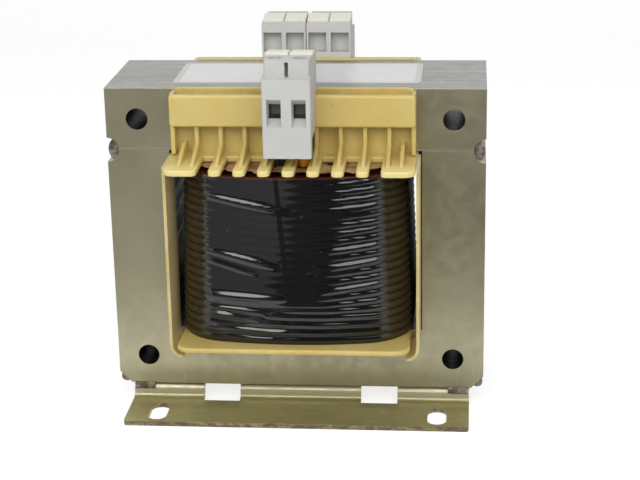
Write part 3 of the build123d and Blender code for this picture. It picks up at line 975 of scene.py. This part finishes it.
@dataclass
class WrappedCoil:
    """The coil: film over its turns, the windings under it and the paper at its head."""

    turns: int = 21
    lean: float = 2.2 * MM
    crown: float = 7.2 * MM
    corner: float = 21.2 * MM
    bulge: float = 0.72 * MM
    fold_height: float = 1.2 * MM
    seam_low: Tuple[float, float] = (-1.5 * MM, 56.0 * MM)
    seam_high: Tuple[float, float] = (-5.4 * MM, 101.0 * MM)
    seam_step: float = 0.35 * MM
    lip: float = 1.6 * MM
    lip_rise: float = 0.04 * MM
    face_depth: float = 9.0 * MM
    dip: float = 2.4 * MM
    dip_reach: float = 35.0 * MM
    wander: float = 0.35 * MM
    paper_lift: float = 0.3 * MM
    paper_wall: float = 0.15 * MM
    side_cuts: int = 40
    crown_cuts: int = 110
    corner_cuts: int = 24
    level_cuts: int = 167
    film: FilmFinish = FilmFinish()
    paper: PaperFinish = PaperFinish()

    def build(self) -> None:
        """Builds the film and the crumpled paper."""
        paper = self.paper.material()
        self._film()
        self._head(paper)
        dress_node("interlayer_paper", paper)

    def dress(self) -> None:
        """Gives the windings under the film their materials."""
        copper = MetalFinish("winding_copper", (0.55, 0.21, 0.09), (0.42, 0.14, 0.06), 0.32).material()
        for node in ("primary_winding", "secondary_winding"):
            dress_node(node, copper)

    def _film(self) -> None:
        """Draws the film up from the coil's plan, then presses the turns, folds and seam into it."""
        low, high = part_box("outer_film")
        half_x, half_y = high.x - self.bulge, high.y - self.bulge
        skin = self._plan(half_x, half_y, low.z)
        with Bench.edit(skin):
            bpy.ops.mesh.select_all(action="SELECT")
            bpy.ops.mesh.extrude_region_move(TRANSFORM_OT_translate={"value": (0.0, 0.0, high.z - low.z)})
            bpy.ops.transform.resize(
                value=((half_x - self.lean) / half_x, (half_y - self.lean) / half_y, 1.0),
                center_override=(0.0, 0.0, high.z),
            )
        Bench.split_edges(skin, self.level_cuts, lambda a, b: abs(a.z - b.z) > 10 * MM)
        with Bench.edit(skin):
            bpy.ops.mesh.select_all(action="SELECT")
            bpy.ops.mesh.normals_make_consistent(inside=False)
        pitch = (high.z - low.z) / self.turns
        Bench.press(skin, "turns", self.bulge, lambda co: self._turn(co, low.z, pitch, half_y))
        Bench.press(skin, "folds", self.fold_height, lambda co: self._folds(co, half_y))
        Bench.press(skin, "seam", self.seam_step, lambda co: self._seam(co, half_y))
        Bench.mark_edges(skin, lambda a, b: min(a.z, b.z) > high.z - 0.01 * MM)
        with Bench.edit(skin, "EDGE"):
            bpy.ops.mesh.extrude_region_move()
            bpy.ops.transform.resize(
                value=(1.0 - self.lip / half_x, 1.0 - self.lip / half_y, 1.0),
                center_override=(0.0, 0.0, high.z),
            )
            bpy.ops.transform.translate(value=(0.0, 0.0, self.lip_rise))
        Bench.smooth(skin, 60.0)
        mount(skin, "wrap_film", self.film.material(), "outer_film")

    def _plan(self, half_x: float, half_y: float, level: float) -> Piece:
        """Draws the coil's plan as one closed line, with crowned ends and round corners.

        Args:
            half_x: Half the plan's width.
            half_y: Half the plan's depth, over the crowns.
            level: The height that it is drawn at.

        Returns:
            The line's object.
        """
        sweep = (half_x * half_x + self.crown * self.crown) / (2.0 * self.crown)
        back = half_y - sweep
        turn_x = half_x - self.corner
        turn_y = back + math.sqrt((sweep - self.corner) ** 2 - turn_x * turn_x)
        turn = math.atan2(turn_y - back, turn_x)
        Bench.clear()
        bpy.ops.mesh.primitive_plane_add(size=MM, location=(half_x, -turn_y, level))
        line = Bench.settle(bpy.context.object, "film_skin")
        with Bench.edit(line):
            bpy.ops.mesh.select_all(action="SELECT")
            bpy.ops.mesh.merge(type="CENTER")
            for way in (1.0, -1.0):
                run = (0.0, 2.0 * way * turn_y, 0.0)
                bpy.ops.mesh.extrude_region_move(TRANSFORM_OT_translate={"value": run})
                for centre, angle, cuts in (
                    ((way * turn_x, way * turn_y, level), turn, self.corner_cuts),
                    ((0.0, way * back, level), math.pi - 2.0 * turn, self.crown_cuts),
                    ((-way * turn_x, way * turn_y, level), turn, self.corner_cuts),
                ):
                    bpy.ops.mesh.spin(steps=cuts, angle=-angle, center=centre, axis=(0.0, 0.0, 1.0))
            bpy.ops.mesh.select_all(action="SELECT")
            bpy.ops.mesh.remove_doubles(threshold=0.05 * MM)
        Bench.split_edges(line, self.side_cuts, lambda a, b: (a - b).length > 10 * MM)
        return line

    def _turn(self, co: Vector, floor: float, pitch: float, half_y: float) -> float:
        """Gives the height of the turns under the film: flat where the film bridges them.

        Args:
            co: A place on the film.
            floor: The coil's lower end.
            pitch: The pitch of the turns.
            half_y: Half the coil's depth.

        Returns:
            The height, from 0 to 1.
        """
        end_face = step(abs(co.y), half_y - 16 * MM, half_y - 3 * MM)
        away = 1.0 - step(co.z - floor, 10 * MM, 20 * MM)
        sag = max(0.0, math.cos(co.x / self.dip_reach * math.pi / 2))
        dip = self.dip * sag * end_face * (1.0 - away)
        wander = self.wander * noise.noise(Vector((co.x * 70.0, co.y * 70.0, co.z * 40.0)))
        phase = (co.z + dip + wander - floor) / pitch
        ridge = self._flanks(phase % 1.0)
        right = step(co.x, 4 * MM, 24 * MM)
        left = step(-co.x, 31 * MM, 37 * MM)
        shown = max(right, left, away, 1.0 - end_face)
        patchy = 0.90 + 0.25 * noise.noise(Vector((co.x * 35.0, co.y * 20.0, co.z * 160.0 + 3.0)))
        return 1.0 - (0.12 + 0.88 * shown * (patchy if end_face > 0.5 else 1.0)) * (1.0 - ridge)

    @staticmethod
    def _flanks(phase: float, crest: float = 0.54, rounding: float = 0.2) -> float:
        """Gives a turn's profile: a long lower flank, a steeper upper one and a rounded crest.

        Args:
            phase: The place within the turn, from 0 at its lower valley to 1 at its upper one.
            crest: Where the crest lies.
            rounding: How much of the height the crest's round takes.

        Returns:
            The height, from 0 to 1.
        """
        lower, upper = phase / crest, (1.0 - phase) / (1.0 - crest)
        blend = max(rounding - abs(lower - upper), 0.0) / rounding
        return min(lower, upper) - blend * blend * rounding * 0.25

    def _folds(self, co: Vector, half_y: float) -> float:
        """Gives the height of the tension folds on the two end faces.

        Args:
            co: A place on the film.
            half_y: Half the coil's depth.

        Returns:
            The height, from 0 to 1.
        """
        if abs(co.y) < half_y - self.face_depth:
            return 0.0
        x = co.x if co.y < 0 else -co.x
        return sum(fold.weight(x, co.z) for fold in FOLDS)

    def _seam(self, co: Vector, half_y: float) -> float:
        """Gives the step of the film's overlap, which runs up the front.

        Args:
            co: A place on the film.
            half_y: Half the coil's depth.

        Returns:
            The height, from 0 to 1.
        """
        if co.y > -half_y + self.face_depth:
            return 0.0
        share = (co.z - self.seam_low[1]) / (self.seam_high[1] - self.seam_low[1])
        edge = self.seam_low[0] + share * (self.seam_high[0] - self.seam_low[0])
        edge += 0.7 * MM * noise.noise(Vector((0.0, 0.0, co.z * 90.0)))
        shown = step(co.z, self.seam_low[1] - 4 * MM, self.seam_low[1] + 8 * MM)
        return shown * step(edge - co.x, -0.5 * MM, 0.5 * MM) * (1.0 - step(edge - co.x, 14 * MM, 26 * MM))

    def _head(self, paper: Material) -> None:
        """Crumples a sheet of paper over the coil's head, round the tube.

        Args:
            paper: Its material.
        """
        low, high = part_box("head_paper")
        _, bore_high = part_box("primary_winding")
        Bench.clear()
        bpy.ops.mesh.primitive_grid_add(
            x_subdivisions=150, y_subdivisions=170, size=2.0, location=(0.0, 0.0, low.z + self.paper_lift)
        )
        sheet = bpy.context.object
        sheet.scale = (high.x, high.y, 1.0)
        Bench.settle(sheet, "crumpled_paper")
        room = Vector((bore_high.x - 9.0 * MM, bore_high.y - 10.5 * MM))
        round_off = self.corner - 3.8 * MM
        sweep = high.x * high.x / (2.0 * self.crown)
        inner = Vector((high.x - round_off, high.y - round_off))

        def spare(centre: Vector, normal: Vector) -> bool:
            """Tells the faces over the tube and past the rounded corners."""
            over = abs(centre.x) < room.x and abs(centre.y) < room.y
            bowed = abs(centre.y) + centre.x * centre.x / (2.0 * sweep)
            past = Vector((max(0.0, abs(centre.x) - inner.x), max(0.0, bowed - inner.y)))
            return over or past.length > round_off

        Bench.drop_faces(sheet, spare)
        Bench.press(sheet, "crumple", high.z - low.z - 2.0 * self.paper_lift, self._crumple)
        Bench.thicken(sheet, self.paper_wall)
        Bench.smooth(sheet, 25.0)
        mount(sheet, "insulating_paper", paper, "head_paper")

    @staticmethod
    def _crumple(co: Vector) -> float:
        """Gives the paper's height: ridged, in sharp creases."""
        broad = abs(noise.noise(Vector((co.x * 160.0, co.y * 120.0, 0.0))))
        fine = abs(noise.noise(Vector((co.x * 420.0, co.y * 380.0, 7.0))))
        return 1.1 * (1.0 - 1.6 * broad) + 0.35 * fine


FOLDS: List[Fold] = [
    Fold((-36 * MM, 95.2 * MM), (0 * MM, 89.4 * MM), 1.1 * MM, 0.68),
    Fold((-32 * MM, 72.8 * MM), (-5 * MM, 67.2 * MM), 1.2 * MM, 0.72),
    Fold((-33 * MM, 68.8 * MM), (-13 * MM, 64.2 * MM), 0.8 * MM, 0.48),
    Fold((-37 * MM, 54.5 * MM), (-2 * MM, 54.0 * MM), 1.7 * MM, 1.0),
    Fold((-36 * MM, 50.0 * MM), (-1 * MM, 47.0 * MM), 1.0 * MM, 0.66),
    Fold((-37 * MM, 47.0 * MM), (-2 * MM, 44.0 * MM), 1.0 * MM, 0.68),
    Fold((-36 * MM, 42.4 * MM), (-2 * MM, 40.2 * MM), 1.0 * MM, 0.66),
    Fold((-32 * MM, 38.8 * MM), (-7 * MM, 37.4 * MM), 0.8 * MM, 0.5),
    Fold((4 * MM, 87.5 * MM), (38 * MM, 91.0 * MM), 0.9 * MM, 0.32),
    Fold((8 * MM, 72.0 * MM), (38 * MM, 75.5 * MM), 0.9 * MM, 0.32),
    Fold((6 * MM, 64.5 * MM), (38 * MM, 70.0 * MM), 1.1 * MM, 0.44),
    Fold((6 * MM, 55.5 * MM), (38 * MM, 60.5 * MM), 0.9 * MM, 0.32),
]


@dataclass
class Terminals:
    """The screw terminal blocks on their rails."""

    housing: MouldingFinish = MouldingFinish(
        "terminal_plastic", (0.60, 0.60, 0.575), (0.55, 0.55, 0.53), 0.5, edge_round=0.35 * MM, patch_scale=70.0
    )
    marker: MouldingFinish = MouldingFinish(
        "marker_plastic", (0.90, 0.87, 0.75), (0.86, 0.82, 0.69), 0.42, 0.2, edge_round=0.3 * MM
    )
    plated: MetalFinish = MetalFinish("plated_steel", (0.42, 0.42, 0.40), (0.28, 0.28, 0.26), 0.38)
    contact: MetalFinish = MetalFinish("contact_brass", (0.66, 0.58, 0.40), (0.52, 0.44, 0.30), 0.3)

    def dress(self) -> None:
        """Gives every block's pieces their materials."""
        plated = self.plated.material()
        by_piece = {
            "housing": self.housing.material(),
            "markers": self.marker.material(),
            "clamp_cages": plated,
            "clamp_screws": plated,
            "contact_bars": self.contact.material(),
        }
        for block in Block:
            for piece, material in by_piece.items():
                dress_node(f"{block.value}_{piece}", material)


@dataclass
class LeadsAndLabel:
    """The leads from the coil to the blocks, and the bare label."""

    black: InsulationFinish = InsulationFinish("black_insulation", (0.018, 0.022, 0.026), (0.03, 0.034, 0.038))
    amber: InsulationFinish = InsulationFinish("amber_sleeve", (0.85, 0.36, 0.03), (0.60, 0.20, 0.015), 0.32)
    label: LabelFinish = LabelFinish()

    def dress(self) -> None:
        """Gives the leads and the label their materials."""
        insulation = self.black.material()
        for node in ("front_twin_lead", "rear_leads"):
            dress_node(node, insulation)
        dress_node("front_sleeved_lead", self.amber.material())
        dress_node("blank_label", self.label.material())


@dataclass(frozen=True)
class Lamp:
    """A soft box of the studio."""

    name: str
    place: Point
    aim: Point
    size: Tuple[float, float]
    power: float

    def build(self) -> None:
        """Hangs the lamp and turns it to its aim."""
        light = bpy.data.lights.new(self.name, "AREA")
        light.shape = "RECTANGLE"
        light.size, light.size_y = self.size
        light.energy = self.power
        lamp = bpy.data.objects.new(self.name, light)
        bpy.context.scene.collection.objects.link(lamp)
        lamp.location = self.place
        lamp.rotation_euler = (Vector(self.aim) - Vector(self.place)).to_track_quat("-Z", "Y").to_euler()


@dataclass(frozen=True)
class Card:
    """A card in front of the object, out of the picture, that only shows in its reflections."""

    name: str
    centre: Point
    size: Tuple[float, float]
    tone: float
    tilt: float = 0.0

    def build(self) -> None:
        """Sets the card up at its place and tilt."""
        Bench.clear()
        turn = (math.radians(self.tilt), 0.0, 0.0)
        bpy.ops.mesh.primitive_plane_add(size=1.0, location=self.centre, rotation=turn)
        card = bpy.context.object
        card.scale = (self.size[0], self.size[1], 1.0)
        Bench.settle(card, self.name)
        card.data.materials.append(Paint(self.name, Roughness=1.0, Base_Color=(self.tone,) * 3).material)
        card.visible_camera = False
        card.visible_diffuse = False
        card.visible_transmission = False
        card.visible_shadow = False


@dataclass
class Studio:
    """Floor, light and camera."""

    floor_half: float = 2.5
    cove_depth: float = 1.2
    cove_height: float = 1.6
    cove_round: float = 0.5
    floor_tone: float = 0.82
    floor_tone_seen: float = 0.45
    floor_glow: float = 0.76
    room_light: float = 0.30
    camera_place: Point = (67.9 * MM, -660.1 * MM, 280.6 * MM)
    camera_turn: Point = (71.7811, 1.0245, 4.9460)
    lens: float = 94.26
    sensor: float = 36.0
    lamps: Tuple[Lamp, ...] = (
        Lamp("left_box", (-0.290, -0.789, 0.658), (0.0, -0.05, 0.07), (0.60, 0.44), 3.5),
        Lamp("right_box", (0.342, -0.783, 0.658), (0.0, -0.05, 0.07), (0.66, 0.62), 3.6),
        Lamp("top_box", (0.0, 0.1, 1.1), (0.0, 0.0, 0.10), (0.9, 0.5), 1.4),
    )
    cards: Tuple[Card, ...] = (
        Card("dark_card", (0.30, -0.665, 2 * MM), (0.69, 1.07), 0.07),
        Card("grey_card", (-0.345, -0.665, 2 * MM), (0.60, 1.07), 0.40),
        Card("dark_wall", (0.65, -1.20, 0.28), (1.50, 0.56), 0.06, 90.0),
        Card("grey_wall", (-0.85, -1.20, 0.28), (1.50, 0.56), 0.25, 90.0),
    )

    def build(self) -> None:
        """Builds the whole studio."""
        self._floor()
        self._world()
        for piece in self.lamps + self.cards:
            piece.build()
        self._camera()
        bpy.context.scene.view_settings.view_transform = "Standard"

    def _floor(self) -> None:
        """Sweeps a pale floor up into a backdrop."""
        Bench.clear()
        bpy.ops.mesh.primitive_plane_add(size=2.0 * self.floor_half, location=(0.0, 0.0, 0.0))
        floor = bpy.context.object
        Bench.settle(floor, "studio_floor")
        Bench.mark_edges(floor, lambda a, b: min(a.y, b.y) > 0.0)
        with Bench.edit(floor, "EDGE"):
            bpy.ops.transform.translate(value=(0.0, self.cove_depth - self.floor_half, 0.0))
            bpy.ops.mesh.extrude_region_move(TRANSFORM_OT_translate={"value": (0.0, 0.0, self.cove_height)})
        Bench.mark_edges(floor, lambda a, b: abs(a.y - b.y) < MM and max(a.z, b.z) < MM and a.y > 0.0)
        with Bench.edit(floor, "EDGE"):
            bpy.ops.mesh.bevel(offset=self.cove_round, segments=16)
        Bench.smooth(floor, 60.0)
        floor.data.materials.append(self._floor_material())

    @staticmethod
    def _seen(wiring: Wiring) -> Socket:
        """Gives 1 on the rays by which a place is seen, directly or in a mirror or glass."""
        path = wiring.add("ShaderNodeLightPath", {})
        direct = wiring.math("MAXIMUM", path.outputs["Is Camera Ray"], path.outputs["Is Glossy Ray"])
        return wiring.math("MAXIMUM", direct, path.outputs["Is Transmission Ray"])

    def _floor_material(self) -> Material:
        """Builds the floor's pale finish, which looks white away from the shadow."""
        material = bpy.data.materials.new("studio_floor")
        material.use_nodes = True
        wiring = Wiring(material.node_tree)
        material.node_tree.nodes.remove(material.node_tree.nodes["Principled BSDF"])
        seen = self._seen(wiring)
        tone = wiring.blend(seen, (self.floor_tone,) * 3, (self.floor_tone_seen,) * 3)
        pale = wiring.add("ShaderNodeBsdfDiffuse", {"Color": tone})
        glow = wiring.add("ShaderNodeEmission", {"Strength": wiring.times(seen, self.floor_glow)})
        both = wiring.add("ShaderNodeAddShader", {0: pale.outputs[0], 1: glow.outputs[0]})
        wiring.feed(material.node_tree.nodes["Material Output"].inputs["Surface"], both.outputs[0])
        return material

    def _world(self) -> None:
        """Lights the room evenly, and shows it white."""
        world = bpy.data.worlds.new("studio")
        world.use_nodes = True
        bpy.context.scene.world = world
        wiring = Wiring(world.node_tree)
        sky = world.node_tree.nodes["Background"]
        wiring.feed(sky.inputs["Color"], (1.0, 1.0, 1.0))
        wiring.feed(sky.inputs["Strength"], wiring.ease(self._seen(wiring), 0.0, 1.0, self.room_light, 1.0))

    def _camera(self) -> None:
        """Sets the camera where the picture was taken from."""
        lens = bpy.data.cameras.new("picture_camera")
        lens.sensor_fit = "HORIZONTAL"
        lens.sensor_width = self.sensor
        lens.lens = self.lens
        lens.clip_start = 0.01
        camera = bpy.data.objects.new("picture_camera", lens)
        bpy.context.scene.collection.objects.link(camera)
        camera.location = self.camera_place
        camera.rotation_euler = [math.radians(turn) for turn in self.camera_turn]
        bpy.context.scene.camera = camera


def main() -> None:
    """Builds and dresses the part piece by piece, then the studio round it."""
    logging.basicConfig(level=logging.INFO, format="%(name)s: %(message)s")
    coil = WrappedCoil()
    coil.build()
    for assembly in (LaminatedCore(), FoldedFeet(), Former(), coil, Terminals(), LeadsAndLabel()):
        assembly.dress()
    Studio().build()


if __name__ == "__main__":
    main()
